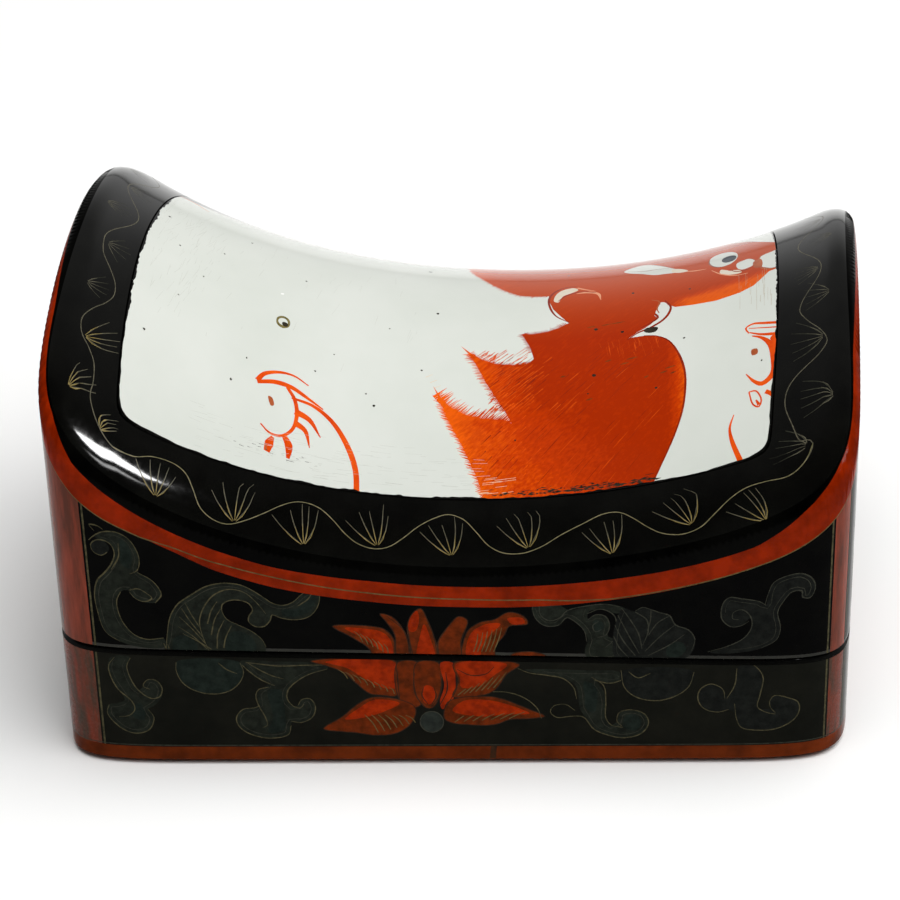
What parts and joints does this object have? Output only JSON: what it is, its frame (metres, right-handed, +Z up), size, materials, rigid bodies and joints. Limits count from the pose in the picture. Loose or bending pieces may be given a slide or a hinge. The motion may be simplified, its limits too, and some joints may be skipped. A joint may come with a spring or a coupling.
{
  "type": "shard box",
  "caption": "Lacquered wooden box, pillow-shaped, with a saddle-topped lift-off lid that holds a curved panel of painted porcelain.",
  "frame": {"origin": "middle of the underside, on the surface that the box stands on", "axes": "+Z up, +X along the box towards its lower right end, -Y out of the painted front"},
  "size_m": [0.1714, 0.1102, 0.1062],
  "materials": {
    "lacquered_base": "polished black lacquer over wood, with iron-red bands, red and grey-green painting and gold lines",
    "lacquered_lid": "polished black lacquer over wood, with iron-red bands, red and grey-green painting and gold lines",
    "porcelain": "glossy white glaze with brushed iron-red painting, worn along its edges"
  },
  "bodies": {
    "root": {"base": "lacquered_base", "lid": "lacquered_lid", "porcelain_panel": "porcelain"}
  },
  "joints": []
}
